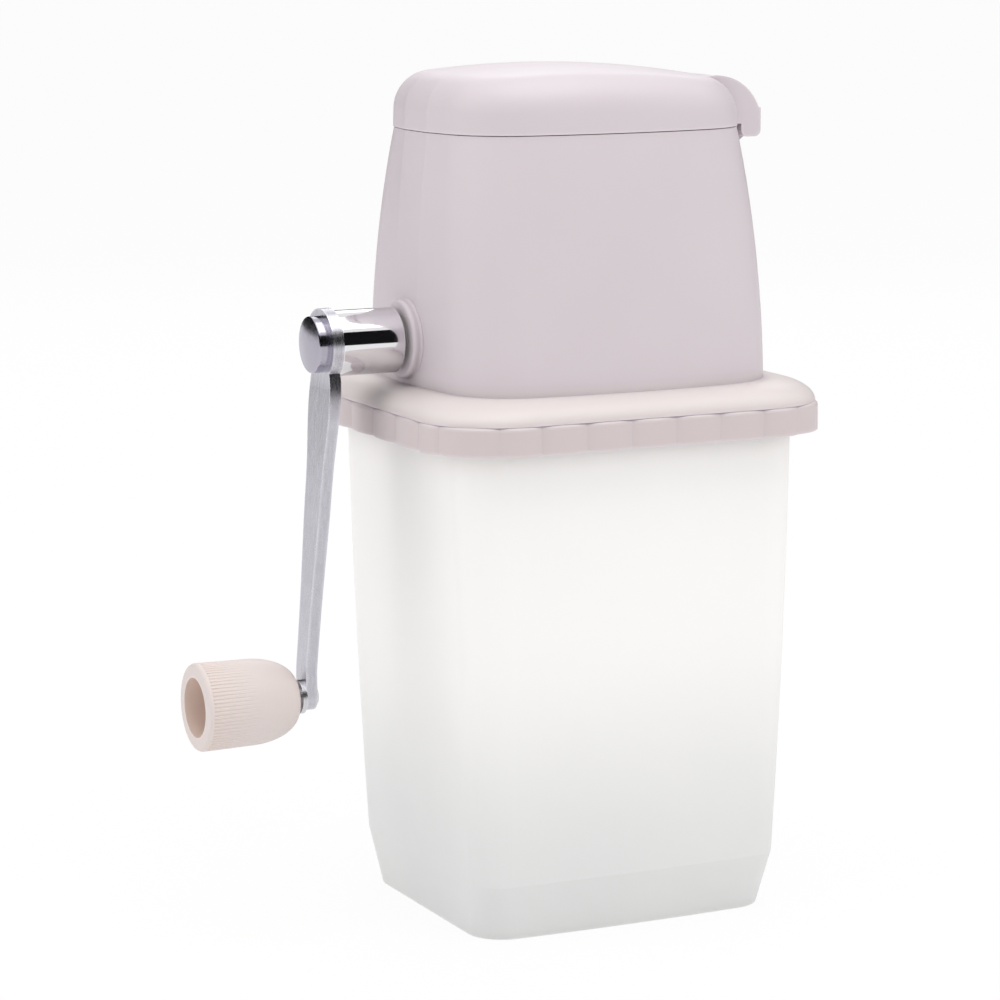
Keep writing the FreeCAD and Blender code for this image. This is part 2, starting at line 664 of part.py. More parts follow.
def far_side_bush():
    return half_turn(bush(-FAR_BORE_END_X + BUSH_END_RECESS))


# Shaft and rotor.

def square_bar(x_from, x_to, side):
    half = side / 2
    return box_span((x_from, x_to), (-half, half), (SHAFT_Z - half, SHAFT_Z + half))


def crusher_shaft():
    far_end = FAR_BORE_END_X - BUSH_END_RECESS
    pieces = [rod_x(SLEEVE_OUTER_X, -ROTOR_END_X, JOURNAL_RADIUS),
              square_bar(ARM_OUTER_X, ROTOR_END_X, SQUARE_SIDE),
              rod_x(ROTOR_END_X, far_end, JOURNAL_RADIUS),
              rod_x(ARM_OUTER_X - THREAD_LENGTH, ARM_OUTER_X, THREAD_RADIUS)]
    shaft = solid_of(pieces[0].fuse(pieces[1:]))
    tips = [edge for edge in shaft.Edges
            if edge.BoundBox.XMin > far_end - SHAFT_CHAMFER / 2
            or edge.BoundBox.XMax < ARM_OUTER_X - THREAD_LENGTH + SHAFT_CHAMFER / 2]
    return shaft.makeChamfer(SHAFT_CHAMFER, tips)


def polar(radius, angle, x=0.0):
    return Vec(x, radius * cos(radians(angle)), SHAFT_Z + radius * sin(radians(angle)))


def star_wire(turn, x):
    """Star with hooked claws: a hollow leading edge, a short tip land and a
    long back that runs down to the root circle."""
    edges = []
    step = 360.0 / BLADE_CLAWS
    for claw in range(BLADE_CLAWS):
        lead = turn + claw * step
        root_in = polar(BLADE_ROOT_RADIUS, lead - CLAW_LEAD_ANGLE, x)
        tip_in = polar(BLADE_TIP_RADIUS, lead, x)
        tip_mid = polar(BLADE_TIP_RADIUS, lead + CLAW_TIP_ANGLE / 2, x)
        tip_out = polar(BLADE_TIP_RADIUS, lead + CLAW_TIP_ANGLE, x)
        root_out = polar(BLADE_ROOT_RADIUS, lead + CLAW_BACK_ANGLE, x)
        next_in = polar(BLADE_ROOT_RADIUS, lead + step - CLAW_LEAD_ANGLE, x)
        valley = polar(BLADE_ROOT_RADIUS,
                       lead + (CLAW_BACK_ANGLE + step - CLAW_LEAD_ANGLE) / 2, x)
        edges.append(hollow_edge(root_in, tip_in, CLAW_HOLLOW))
        edges.append(Part.Arc(tip_in, tip_mid, tip_out).toShape())
        edges.append(hollow_edge(tip_out, root_out, -CLAW_HOLLOW))
        edges.append(Part.Arc(root_out, valley, next_in).toShape())
    return Part.Wire(edges)


def hollow_edge(start, end, depth):
    chord = end.sub(start).normalize()
    aside = Vec(0, -chord.z, chord.y).multiply(depth)
    middle = start.add(end).multiply(0.5).add(aside)
    return Part.Arc(start, middle, end).toShape()


def ice_blade(number):
    x = BLADE_FIRST_X + BLADE_PITCH * number - BLADE_THICKNESS / 2
    face = Part.Face(star_wire(BLADE_STEP_ANGLE * number, x))
    blade = face.extrude(Vec(BLADE_THICKNESS, 0, 0))
    return blade.cut(square_bar(x, x + BLADE_THICKNESS, SQUARE_SIDE + 2 * SQUARE_CLEARANCE))


def spacer(x_from, x_to):
    bore = SQUARE_SIDE / sqrt(2) + SPACER_BORE_CLEARANCE
    return tube_x(x_from, x_to, SPACER_RADIUS, bore)


def blade_spacer(number):
    x = BLADE_FIRST_X + BLADE_PITCH * number + BLADE_THICKNESS / 2
    return spacer(x, x + BLADE_PITCH - BLADE_THICKNESS)


def end_spacer(sign):
    near = -BLADE_FIRST_X + BLADE_THICKNESS / 2
    return spacer(near, ROTOR_END_X) if sign > 0 else spacer(-ROTOR_END_X, -near)


# Crank.

def hub_sleeve():
    tube = tube_x(SLEEVE_OUTER_X, SLEEVE_INNER_X, SLEEVE_RADIUS,
                  JOURNAL_RADIUS + SLEEVE_BORE_CLEARANCE)
    rims = [edge for edge in tube.Edges
            if edge.BoundBox.ZLength > 2 * SLEEVE_RADIUS - SLEEVE_EDGE
            and edge.BoundBox.XLength < SLEEVE_EDGE]
    return tube.makeFillet(SLEEVE_EDGE, rims)


def arm_side_wire():
    """Side view of the arm: flat at the eye, leaning out below a soft bend, and
    upright again at the knob."""
    lean = radians(ARM_LEAN)
    top = SHAFT_Z + ARM_EYE_RADIUS + ARM_EDGE
    low = KNOB_Z - ARM_TIP_RADIUS - ARM_THICKNESS
    outer_radius = ARM_BEND_RADIUS + ARM_THICKNESS
    upper_centre = Vec(ARM_OUTER_X - ARM_BEND_RADIUS, 0, ARM_BEND_Z)
    lower_centre = Vec(knob_origin().x + outer_radius, 0, KNOB_Z + ARM_FOOT_LENGTH)

    def bend(centre, radius, turn):
        return centre + Vec(radius * cos(turn), 0, -radius * sin(turn))

    def face(upper_radius, lower_radius):
        upper = [bend(upper_centre, upper_radius, turn) for turn in (0, lean / 2, lean)]
        lower = [bend(lower_centre, -lower_radius, turn) for turn in (lean, lean / 2, 0)]
        head = Vec(upper[0].x, 0, top)
        foot = Vec(lower[2].x, 0, low)
        edges = [Part.makeLine(head, upper[0]), Part.Arc(*upper).toShape(),
                 Part.makeLine(upper[2], lower[0]), Part.Arc(*lower).toShape(),
                 Part.makeLine(lower[2], foot)]
        return edges, head, foot

    inner, inner_head, inner_foot = face(outer_radius, ARM_BEND_RADIUS)
    outer, outer_head, outer_foot = face(ARM_BEND_RADIUS, outer_radius)
    return Part.Wire(inner + [Part.makeLine(inner_foot, outer_foot)] + outer[::-1]
                     + [Part.makeLine(outer_head, inner_head)])


def arm_face_wire(x):
    """Face view of the arm: round eye, sides drawn in to a slim round tip."""
    side = [Vec(x, half, SHAFT_Z - down) for down, half in ARM_HALF_WIDTHS]
    tip = Vec(x, ARM_TIP_RADIUS, KNOB_Z)
    leave = radians(ARM_EYE_WRAP)
    eye = Vec(x, ARM_EYE_RADIUS * cos(leave), SHAFT_Z - ARM_EYE_RADIUS * sin(leave))
    curve = Part.BSplineCurve()
    curve.interpolate([eye] + side + [tip])

    def mirrored(point):
        return Vec(point.x, -point.y, point.z)

    other = Part.BSplineCurve()
    other.interpolate([mirrored(point) for point in [tip] + side[::-1] + [eye]])
    return Part.Wire([
        Part.Arc(mirrored(eye), Vec(x, 0, SHAFT_Z + ARM_EYE_RADIUS), eye).toShape(),
        curve.toShape(),
        Part.Arc(tip, Vec(x, 0, KNOB_Z - ARM_TIP_RADIUS), mirrored(tip)).toShape(),
        other.toShape()])


def knob_frame(shape):
    """Move a shape drawn along +X from the origin onto the arm's lower end, with
    the arm's outer face at zero."""
    placed = shape.copy()
    placed.rotate(Vec(0, 0, 0), Z_AXIS, 180)
    placed.translate(knob_origin())
    return placed


def knob_origin():
    """Where the knob's axis leaves the arm's outer face."""
    lean = radians(ARM_LEAN)
    outer_radius = ARM_BEND_RADIUS + ARM_THICKNESS
    lean_top = ARM_BEND_Z - ARM_BEND_RADIUS * sin(lean)
    lean_foot = KNOB_Z + ARM_FOOT_LENGTH + outer_radius * sin(lean)
    bends = (ARM_BEND_RADIUS + outer_radius) * (1 - cos(lean))
    return Vec(ARM_OUTER_X - bends - (lean_top - lean_foot) * tan(lean), 0, KNOB_Z)


def crank_arm():
    reach = ARM_EYE_RADIUS + ARM_THICKNESS
    slab = Part.Face(arm_side_wire()).extrude(Vec(0, 2 * reach, 0))
    slab.translate(Vec(0, -reach, 0))
    low_x = knob_origin().x - 2 * ARM_THICKNESS
    face = Part.Face(arm_face_wire(low_x))
    arm = slab.common(face.extrude(Vec(SLEEVE_OUTER_X - low_x + ARM_THICKNESS, 0, 0)))
    square = SQUARE_SIDE + 2 * SQUARE_CLEARANCE
    arm = arm.cut(square_bar(ARM_OUTER_X, SLEEVE_OUTER_X, square))
    run = 2 * ARM_THICKNESS
    hole = Part.makeCylinder(SPINDLE_RADIUS, run, Vec(-(ARM_THICKNESS + run) / 2, 0, 0), X_AXIS)
    return solid_of(arm.cut(knob_frame(hole)))


def crank_cap_nut():
    rim_x = ARM_OUTER_X - CAP_HEIGHT
    body = rod_x(rim_x, ARM_OUTER_X, CAP_RADIUS)
    ball = (CAP_RADIUS ** 2 + CAP_DOME ** 2) / (2 * CAP_DOME)
    dome = Part.makeSphere(ball, Vec(rim_x - CAP_DOME + ball, 0, SHAFT_Z))
    dome = dome.common(rod_x(rim_x - CAP_DOME, rim_x, CAP_RADIUS))
    cap = solid_of(body.fuse(dome))
    rim = [edge for edge in cap.Edges if abs(edge.BoundBox.XMax - rim_x) < CAP_EDGE / 5
           and edge.BoundBox.ZLength > CAP_RADIUS]
    cap = cap.makeFillet(CAP_EDGE, rim)
    return cap.cut(rod_x(ARM_OUTER_X - THREAD_LENGTH - THREAD_CLEARANCE, ARM_OUTER_X,
                         THREAD_RADIUS + THREAD_CLEARANCE))


# Knob.

def ring_profile(points):
    """Solid of revolution about X from (x, radius) points."""
    wire = Part.makePolygon([Vec(x, 0, r) for x, r in points + points[:1]])
    return Part.Face(wire).revolve(Vec(0, 0, 0), X_AXIS, 360)


def knob_side():
    """Outer line of the knob from its neck to its open mouth."""
    dome_end = KNOB_START + KNOB_DOME_LENGTH
    points = []
    for turn in (0, 15, 30, 45, 60, 75, 90):
        swing = radians(turn)
        points.append(Vec(dome_end - KNOB_DOME_LENGTH * cos(swing), 0,
                          lerp(KNOB_NECK_RADIUS, KNOB_DOME_RADIUS, sin(swing))))
    dome = Part.BSplineCurve()
    dome.interpolate(points)
    straight_end = KNOB_END - KNOB_MOUTH_ROUND
    round_mid = Vec(straight_end + KNOB_MOUTH_ROUND * sin(pi / 4), 0,
                    KNOB_RADIUS - KNOB_MOUTH_ROUND * (1 - cos(pi / 4)))
    mouth = Vec(KNOB_END, 0, KNOB_RADIUS - KNOB_MOUTH_ROUND)
    top = Vec(straight_end, 0, KNOB_RADIUS)
    return [dome.toShape(), Part.makeLine(points[-1], top), Part.Arc(top, round_mid, mouth).toShape()]


def crank_knob():
    bore = SPINDLE_RADIUS + RUNNING_CLEARANCE
    inner = [Vec(KNOB_END, 0, KNOB_RADIUS - KNOB_MOUTH_ROUND), Vec(KNOB_END, 0, KNOB_HOLE_RADIUS),
             Vec(KNOB_HOLE_START, 0, KNOB_HOLE_RADIUS), Vec(KNOB_HOLE_START, 0, bore),
             Vec(KNOB_START, 0, bore), Vec(KNOB_START, 0, KNOB_NECK_RADIUS)]
    wire = Part.Wire(knob_side() + Part.makePolygon(inner).Edges)
    knob = Part.Face(wire).revolve(Vec(0, 0, 0), X_AXIS, 360)
    groove_axis = KNOB_RADIUS - KNOB_GROOVE_DEPTH + KNOB_GROOVE_RADIUS
    start = KNOB_START + KNOB_DOME_LENGTH / 3
    length = KNOB_END - KNOB_MOUTH_ROUND - start
    grooves = []
    for count in range(KNOB_GROOVES):
        groove = Part.makeCylinder(KNOB_GROOVE_RADIUS, length, Vec(start, 0, groove_axis), X_AXIS)
        groove.rotate(Vec(0, 0, 0), X_AXIS, 360.0 * count / KNOB_GROOVES)
        grooves.append(groove)
    return knob_frame(knob.cut(grooves))


def knob_spindle():
    head_x = KNOB_HOLE_START + SPINDLE_HEAD_GAP
    rivet_x = -ARM_THICKNESS - RIVET_HEIGHT
    screw = ring_profile([
        (rivet_x, 0), (rivet_x, RIVET_RADIUS - RIVET_CHAMFER),
        (-ARM_THICKNESS, RIVET_RADIUS), (-ARM_THICKNESS, SPINDLE_RADIUS), (head_x, SPINDLE_RADIUS),
        (head_x, SPINDLE_HEAD_RADIUS), (head_x + SPINDLE_HEAD_HEIGHT, SPINDLE_HEAD_RADIUS),
        (head_x + SPINDLE_HEAD_HEIGHT, 0)])
    top = head_x + SPINDLE_HEAD_HEIGHT
    slot = box_span((top - SPINDLE_SLOT_DEPTH, top), (-SPINDLE_HEAD_RADIUS, SPINDLE_HEAD_RADIUS),
                    (-SPINDLE_SLOT_WIDTH / 2, SPINDLE_SLOT_WIDTH / 2))
    return knob_frame(screw.cut(slot))


def knob_washer():
    bore = SPINDLE_RADIUS + RUNNING_CLEARANCE
    return knob_frame(tube_x(0, WASHER_THICKNESS, WASHER_RADIUS, bore, 0, 0))


# Lid and hinge.

def lid_outline(z, inset=0.0):
    share = (z - LID_BASE_Z) / LID_HEIGHT
    shrink = 2 * (inset + LID_SIDE_DRAFT * share) - LID_OVERSIZE
    return outline(HOPPER_TOP_WIDTH - shrink, HOPPER_TOP_DEPTH - shrink,
                   HOPPER_TOP_CORNER - shrink / 2, z, HOPPER_BOW, HOPPER_KEEL,
                   HOPPER_END_FLAT)


def lid_dome(inset):
    block = loft([lid_outline(LID_BASE_Z, inset), lid_outline(LID_TOP_Z, inset)])
    centre = Vec(LID_CROWN_X, 0, LID_TOP_Z - LID_CROWN_RADIUS)
    ball = Part.makeSphere(LID_CROWN_RADIUS - inset, centre)
    dome = block.common(ball)
    mid = LID_BASE_Z + LID_HEIGHT / 2
    rim = [edge for edge in dome.Edges if edge.BoundBox.ZMin > mid]
    return dome.makeFillet(LID_EDGE_ROUND - inset, rim)


def cheek_profile(y):
    """Rounded foot around the pin, carried up under the crown."""
    half = HINGE_CHEEK_HALF
    low = box_span((HINGE_X - half, HINGE_X + half), (y, y + HINGE_CHEEK_THICKNESS),
                   (HINGE_Z - half, HINGE_Z + half + HINGE_CHEEK_ROUND))
    corners = [edge for edge in low.Edges
               if edge.BoundBox.YLength > HINGE_CHEEK_THICKNESS / 2
               and edge.BoundBox.ZMax < HINGE_Z]
    return low.makeFillet(HINGE_CHEEK_ROUND, corners)


def hinge_hood():
    """Hood that carries the crown over the hinge and down to the two cheeks."""
    outer_x = HINGE_X + HINGE_CHEEK_HALF
    root_x = HOPPER_TOP_WIDTH / 2 - LID_EDGE_ROUND
    crown_z = LID_TOP_Z - (root_x - LID_CROWN_X) ** 2 / (2 * LID_CROWN_RADIUS) - LID_WALL / 2
    spring_z = HINGE_Z + HINGE_CHEEK_HALF
    full = 2 * HINGE_HALF_LENGTH

    def skin(offset, z_low):
        start = Vec(root_x, -HINGE_HALF_LENGTH, crown_z - offset)
        end = Vec(outer_x - offset, -HINGE_HALF_LENGTH, spring_z)
        bend = Vec(lerp(start.x, end.x, HINGE_HOOD_FULLNESS), -HINGE_HALF_LENGTH,
                   lerp(end.z, start.z, HINGE_HOOD_FULLNESS))
        low_out = Vec(end.x, end.y, z_low)
        low_in = Vec(root_x, end.y, z_low)
        wire = Part.Wire([Part.Arc(start, bend, end).toShape(), Part.makeLine(end, low_out),
                          Part.makeLine(low_out, low_in), Part.makeLine(low_in, start)])
        return Part.Face(wire).extrude(Vec(0, full, 0))

    block = skin(0, LID_BASE_Z)
    inner = skin(HINGE_HOOD_WALL, LID_BASE_Z - LID_WALL)
    half = HINGE_HALF_LENGTH - HINGE_CHEEK_THICKNESS
    inner = inner.common(box_span((0, outer_x), (-half, half), (LID_BASE_Z - LID_WALL, LID_TOP_Z)))
    knuckle_room = box_span((HOPPER_TOP_WIDTH / 2 + LID_OVERSIZE, outer_x), (-half, half),
                            (LID_BASE_Z, HINGE_Z + HINGE_KNUCKLE_RADIUS + HINGE_HOOD_GAP))
    hood = block.cut([inner, knuckle_room])
    cheeks = [cheek_profile(-HINGE_HALF_LENGTH), cheek_profile(half)]
    return hood.fuse(cheeks)


def lid_rim():
    gap = HOPPER_WALL + LID_RIM_CLEARANCE
    low = LID_BASE_Z - LID_RIM_DEPTH
    outer = hopper_outline(HOPPER_TOP_Z, gap)
    inner = hopper_outline(HOPPER_TOP_Z, gap + LID_RIM_WALL)
    drop = Vec(0, 0, low - HOPPER_TOP_Z)
    outer.translate(drop)
    inner.translate(drop)
    height = LID_RIM_DEPTH + LID_WALL / 2
    return prism(outer, height).cut(prism(inner, height))


def lid_rim_web():
    """Ledge inside the lid that joins the rim to the side wall."""
    outer = lid_outline(LID_BASE_Z, LID_WALL / 2)
    inner = hopper_outline(HOPPER_TOP_Z, HOPPER_WALL + LID_RIM_CLEARANCE + LID_RIM_WALL)
    inner.translate(Vec(0, 0, LID_BASE_Z - HOPPER_TOP_Z))
    return prism(outer, LID_WALL).cut(prism(inner, LID_WALL))


def lid():
    shell = lid_dome(0).cut(lid_dome(LID_WALL))
    hood = hinge_hood().cut(lid_dome(LID_WALL / 2))
    whole = shell.fuse([hood, lid_rim(), lid_rim_web()])
    hole = rod_y(HINGE_PIN_START_Y, HINGE_HALF_LENGTH, HINGE_PIN_RADIUS, HINGE_X, HINGE_Z)
    return solid_of(whole.cut(hole))


def lid_hinge_pin():
    """Pin pushed in from the rear, up to the blind end of the front cheek."""
    end_y = HINGE_HALF_LENGTH - HINGE_PIN_END_INSET
    return rod_y(HINGE_PIN_START_Y, end_y, HINGE_PIN_RADIUS, HINGE_X, HINGE_Z)


def main():
    save(ice_cup(), "ice_cup")
    save(hopper_housing(), "hopper_housing")
    save(front_comb(), "breaker_comb_front")
    save(half_turn(front_comb()), "breaker_comb_rear")
    save(comb_screws(), "breaker_comb_screws")
    save(crank_side_bush(), "crank_side_bush")
    save(far_side_bush(), "far_side_bush")
    save(crusher_shaft(), "crusher_shaft")
    for number in range(BLADE_COUNT):
        save(ice_blade(number), "ice_blade_%d" % (number + 1))
    for number in range(BLADE_COUNT - 1):
        save(blade_spacer(number), "blade_spacer_%d" % (number + 1))
    save(end_spacer(-1), "end_spacer_crank_side")
    save(end_spacer(1), "end_spacer_far_side")
    save(hub_sleeve(), "hub_sleeve")
    save(crank_arm(), "crank_arm")
    save(crank_cap_nut(), "crank_cap_nut")
    save(knob_spindle(), "knob_spindle")
    save(knob_washer(), "knob_washer")
    save(crank_knob(), "crank_knob")
    save(lid(), "lid")
    save(lid_hinge_pin(), "lid_hinge_pin")


main()
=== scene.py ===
import math

import bpy
from mathutils import Matrix, Vector

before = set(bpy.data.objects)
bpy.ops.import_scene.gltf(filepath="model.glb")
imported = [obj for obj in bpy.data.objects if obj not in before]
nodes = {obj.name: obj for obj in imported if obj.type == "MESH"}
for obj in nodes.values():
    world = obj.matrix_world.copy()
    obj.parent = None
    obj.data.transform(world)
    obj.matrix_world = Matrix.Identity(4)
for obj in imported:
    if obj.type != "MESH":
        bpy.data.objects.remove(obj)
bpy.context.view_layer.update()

# Camera, from the photograph's vanishing lines and outlines. The lens and the
# sensor are in millimetres, all other lengths here are in metres.
CAMERA_EYE = (-0.46670, -0.94860, 0.29666)
CAMERA_RIGHT = Vector((0.90477579, -0.42583801, -0.00653957))
CAMERA_UP = Vector((0.07650877, 0.14741413, 0.98611129))
CAMERA_LENS = 130.716
CAMERA_SENSOR = 36.0
CAMERA_NEAR = 0.05
CAMERA_FAR = 100.0

# Lamps: name, place, aim, size, watts, and whether the plating mirrors the lamp.
LAMPS = (
    ("overhead", (0.1, -0.3, 1.5), (0, 0, 0.12), (1.3, 1.3), 9.3, True),
    ("left", (-1.5, 0.3, 0.8), (0, 0, 0.12), (1.8, 1.5), 7.2, True),
    ("front_right", (0.8, -1.4, 0.8), (0, 0, 0.12), (0.9, 0.9), 4.2, False),
    ("behind", (0.6, 1.3, 0.9), (0, 0, 0.1), (1.0, 0.8), 4.0, True),
)
WORLD_FILL = 0.72

# Floor. The glow is the share of plain white that seen rays get from it.
FLOOR_SIZE = 60.0
FLOOR_COLOUR = (0.86, 0.86, 0.86)
FLOOR_DRIFT = 0.995
FLOOR_ROUGHNESS = 0.9
FLOOR_GLOW = 0.92

# Dark surround that only reflections see, so that the plating has contrast.
SURROUND_RADIUS = 1.6
SURROUND_LOW = 0.1
SURROUND_HIGH = 1.5
SURROUND_SIDES = 64
SURROUND_CLOTH = (0.008, 0.008, 0.009)
SURROUND_ROUGHNESS = 0.9

# Colours of the plastics.
TOWER_WHITE = (0.635, 0.573, 0.606)
# Lighter, warmer copy of the white for the up-facing bullnose is painted light; the darker
# copy for the skirt is painted shade.
BULLNOSE_PAINTED_LIGHT = (0.70, 0.64, 0.625)
SKIRT_PAINTED_SHADE = (0.61, 0.53, 0.535)
CUP_HIGH = (0.985, 0.968, 0.952)
# Darker, greener copy of the cup colour towards the bottom: painted shade.
CUP_LOW_PAINTED_SHADE = (0.725, 0.74, 0.735)
CUP_CLOUD = (0.93, 0.905, 0.88)
KNOB_CREAM = (0.69, 0.612, 0.588)
# Warm light bounced round inside the knob's bore: painted light.
KNOB_BORE_BOUNCE_LIGHT = (0.80, 0.64, 0.56)
BUSH_NATURAL = (0.66, 0.65, 0.60)

# Colours of the metals.
SLEEVE_CHROME = (0.78, 0.77, 0.79)
CAP_CHROME = (0.44, 0.42, 0.49)
ARM_CHROME = (0.58, 0.57, 0.62)
ZINC_STEEL = (0.60, 0.60, 0.62)
STAINLESS = (0.63, 0.63, 0.64)

# Heights between which one tone fades into the next: painted shade low on the cup, painted
# light on the collar's bullnose and painted shade on its skirt.
CUP_SHADE_FADE = (0.012, 0.092)
SKIRT_SHADE_FADE = (0.149, 0.1525)
BULLNOSE_LIGHT_FADE = (0.1565, 0.160)

# Painted shade in inner corners and painted highlight on outer edges: how far each reaches,
# and how it darkens or lightens each kind of piece.
CORNER_SHADE_REACH = 0.004
EDGE_HIGHLIGHT_REACH = 0.0009
# Reach of the painted warm bounce light in the knob's bore.
BORE_BOUNCE_REACH = 0.02
CORNER_SAMPLES = 8
PLASTIC_CORNER_SHADE = 0.86
PLASTIC_EDGE_HIGHLIGHT = 1.12
METAL_CORNER_SHADE = 0.45
METAL_EDGE_HIGHLIGHT = 1.3

# Slow drift of the colour, as factors on it.
PLASTIC_DRIFT = (0.975, 1.02)
METAL_DRIFT = (0.96, 1.03)

PLASTIC_IOR = 1.47
CUP_IOR = 1.49
CUP_THROUGH = 0.06

# Sockets of the colour mix node, which have no names of their own.
MIX_FACTOR, MIX_FIRST, MIX_SECOND, MIX_RESULT = 0, 6, 7, 2


def make_camera():
    data = bpy.data.cameras.new("camera")
    data.sensor_width = CAMERA_SENSOR
    data.lens = CAMERA_LENS
    data.clip_start = CAMERA_NEAR
    data.clip_end = CAMERA_FAR
    camera = bpy.data.objects.new("camera", data)
    camera.location = CAMERA_EYE
    back = CAMERA_RIGHT.cross(CAMERA_UP)
    camera.rotation_euler = Matrix((CAMERA_RIGHT, CAMERA_UP, back)).transposed().to_euler()
    bpy.context.scene.collection.objects.link(camera)
    bpy.context.scene.camera = camera


def make_lamp(name, place, target, size, power, mirrored):
    """A rectangular area lamp aimed at a point."""
    data = bpy.data.lights.new(name, "AREA")
    data.shape = "RECTANGLE"
    data.size, data.size_y = size
    data.energy = power
    lamp = bpy.data.objects.new(name, data)
    lamp.location = place
    aim = Vector(target) - Vector(place)
    lamp.rotation_euler = aim.to_track_quat("-Z", "Y").to_euler()
    lamp.visible_glossy = mirrored
    bpy.context.scene.collection.objects.link(lamp)


def seen_rays(tree):
    """One for camera, glossy and transmission rays, nought for the rest."""
    path = tree.nodes.new("ShaderNodeLightPath")
    total = path.outputs["Is Camera Ray"]
    for kind in ("Is Glossy Ray", "Is Transmission Ray"):
        larger = tree.nodes.new("ShaderNodeMath")
        larger.operation = "MAXIMUM"
        tree.links.new(total, larger.inputs[0])
        tree.links.new(path.outputs[kind], larger.inputs[1])
        total = larger.outputs[0]
    return total


def mix_shaders(tree, first, second, target):
    """Blends two shaders into the target and returns the socket for the share."""
    mix = tree.nodes.new("ShaderNodeMixShader")
    tree.links.new(first, mix.inputs[1])
    tree.links.new(second, mix.inputs[2])
    tree.links.new(mix.outputs[0], target)
    return mix.inputs[0]


def make_world():
    """Even fill light on the object, plain white for whatever sees the world."""
    world = bpy.data.worlds.new("studio")
    bpy.context.scene.world = world
    world.use_nodes = True
    tree = world.node_tree
    tree.nodes.clear()
    out = tree.nodes.new("ShaderNodeOutputWorld")
    fill = tree.nodes.new("ShaderNodeBackground")
    fill.inputs["Color"].default_value = (WORLD_FILL, WORLD_FILL, WORLD_FILL, 1)
    white = tree.nodes.new("ShaderNodeBackground")
    white.inputs["Color"].default_value = (1, 1, 1, 1)
    share = mix_shaders(tree, fill.outputs[0], white.outputs[0], out.inputs[0])
    tree.links.new(seen_rays(tree), share)


def shade(colour, factor):
    return tuple(min(1.0, channel * factor) for channel in colour)


class Shader:
    """A node material built step by step round one Principled shader."""

    def __init__(self, name, colour, roughness, metallic=0.0):
        self.material = bpy.data.materials.new(name)
        self.material.use_nodes = True
        self.tree = self.material.node_tree
        self.shader = self.tree.nodes["Principled BSDF"]
        self.output = self.tree.nodes["Material Output"]
        self.shader.inputs["Base Color"].default_value = (*colour, 1)
        self.shader.inputs["Roughness"].default_value = roughness
        self.shader.inputs["Metallic"].default_value = metallic
        self.coords = self.tree.nodes.new("ShaderNodeTexCoord").outputs["Object"]

    def add(self, kind, **values):
        node = self.tree.nodes.new(kind)
        for key, value in values.items():
            setattr(node, key, value)
        return node

    def link(self, source, target):
        self.tree.links.new(source, target)

    def noise(self, scale, detail=3.0, roughness=0.5, stretch=None):
        """Noise over the object's own coordinates, stretched per axis if asked."""
        texture = self.add("ShaderNodeTexNoise")
        texture.inputs["Scale"].default_value = scale
        texture.inputs["Detail"].default_value = detail
        texture.inputs["Roughness"].default_value = roughness
        source = self.coords
        if stretch:
            mapping = self.add("ShaderNodeMapping")
            mapping.inputs["Scale"].default_value = stretch
            self.link(source, mapping.inputs["Vector"])
            source = mapping.outputs["Vector"]
        self.link(source, texture.inputs["Vector"])
        return texture.outputs["Fac"]

    def spread(self, value, low, high, start=0.3, end=0.7, kind="LINEAR"):
        """Maps the stretch from start to end onto low to high."""
        ranged = self.add("ShaderNodeMapRange", interpolation_type=kind)
        ranged.inputs["From Min"].default_value = start
        ranged.inputs["From Max"].default_value = end
        ranged.inputs["To Min"].default_value = low
        ranged.inputs["To Max"].default_value = high
        self.link(value, ranged.inputs["Value"])
        return ranged.outputs["Result"]

    def tint(self, share, low, high):
        """Mixes two colours, each a tuple or a socket, into the base colour."""
        mix = self.add("ShaderNodeMix", data_type="RGBA")
        for place, colour in ((MIX_FIRST, low), (MIX_SECOND, high)):
            if isinstance(colour, tuple):
                mix.inputs[place].default_value = (*colour, 1)
            else:
                self.link(colour, mix.inputs[place])
        self.link(share, mix.inputs[MIX_FACTOR])
        self.link(mix.outputs[MIX_RESULT], self.shader.inputs["Base Color"])
        return mix.outputs[MIX_RESULT]

    def drift(self, colour, scale, detail, factors):
        """Lets the colour wander slowly between two factors of itself."""
        share = self.spread(self.noise(scale, detail), 0.0, 1.0)
        low, high = factors
        return self.tint(share, shade(colour, low), shade(colour, high))

    def height(self, low, high):
        """Rises smoothly from nought to one between two heights."""
        place = self.add("ShaderNodeSeparateXYZ")
        self.link(self.coords, place.inputs[0])
        return self.spread(place.outputs["Z"], 0.0, 1.0, low, high, "SMOOTHSTEP")

    def near_corners(self, reach, inside):
        """Rises towards outer edges if inside is set, else towards inner corners."""
        node = self.add("ShaderNodeAmbientOcclusion", samples=CORNER_SAMPLES,
                        inside=inside, only_local=True)
        node.inputs["Distance"].default_value = reach
        return self.spread(node.outputs["AO"], low=1.0, high=0.0, start=0.4, end=0.97)

    def paint_shade_and_highlight(self, tone, colour, corner_shade, edge_highlight):
        """Painted shade darkens inner corners and a painted highlight lightens the outer
        edges.
        """
        tone = self.tint(self.near_corners(CORNER_SHADE_REACH, False), tone, shade(colour, corner_shade))
        return self.tint(self.near_corners(EDGE_HIGHLIGHT_REACH, True), tone, shade(colour, edge_highlight))

    def rough(self, value, low, high):
        """Lets the roughness vary with a noise value."""
        self.link(self.spread(value, low, high), self.shader.inputs["Roughness"])

    def bump(self, height, strength, distance, over=None):
        """Fine relief, on top of another one if that is given."""
        node = self.add("ShaderNodeBump")
        node.inputs["Strength"].default_value = strength
        node.inputs["Distance"].default_value = distance
        self.link(height, node.inputs["Height"])
        if over is not None:
            self.link(over, node.inputs["Normal"])
        self.link(node.outputs["Normal"], self.shader.inputs["Normal"])
        return node.outputs["Normal"]


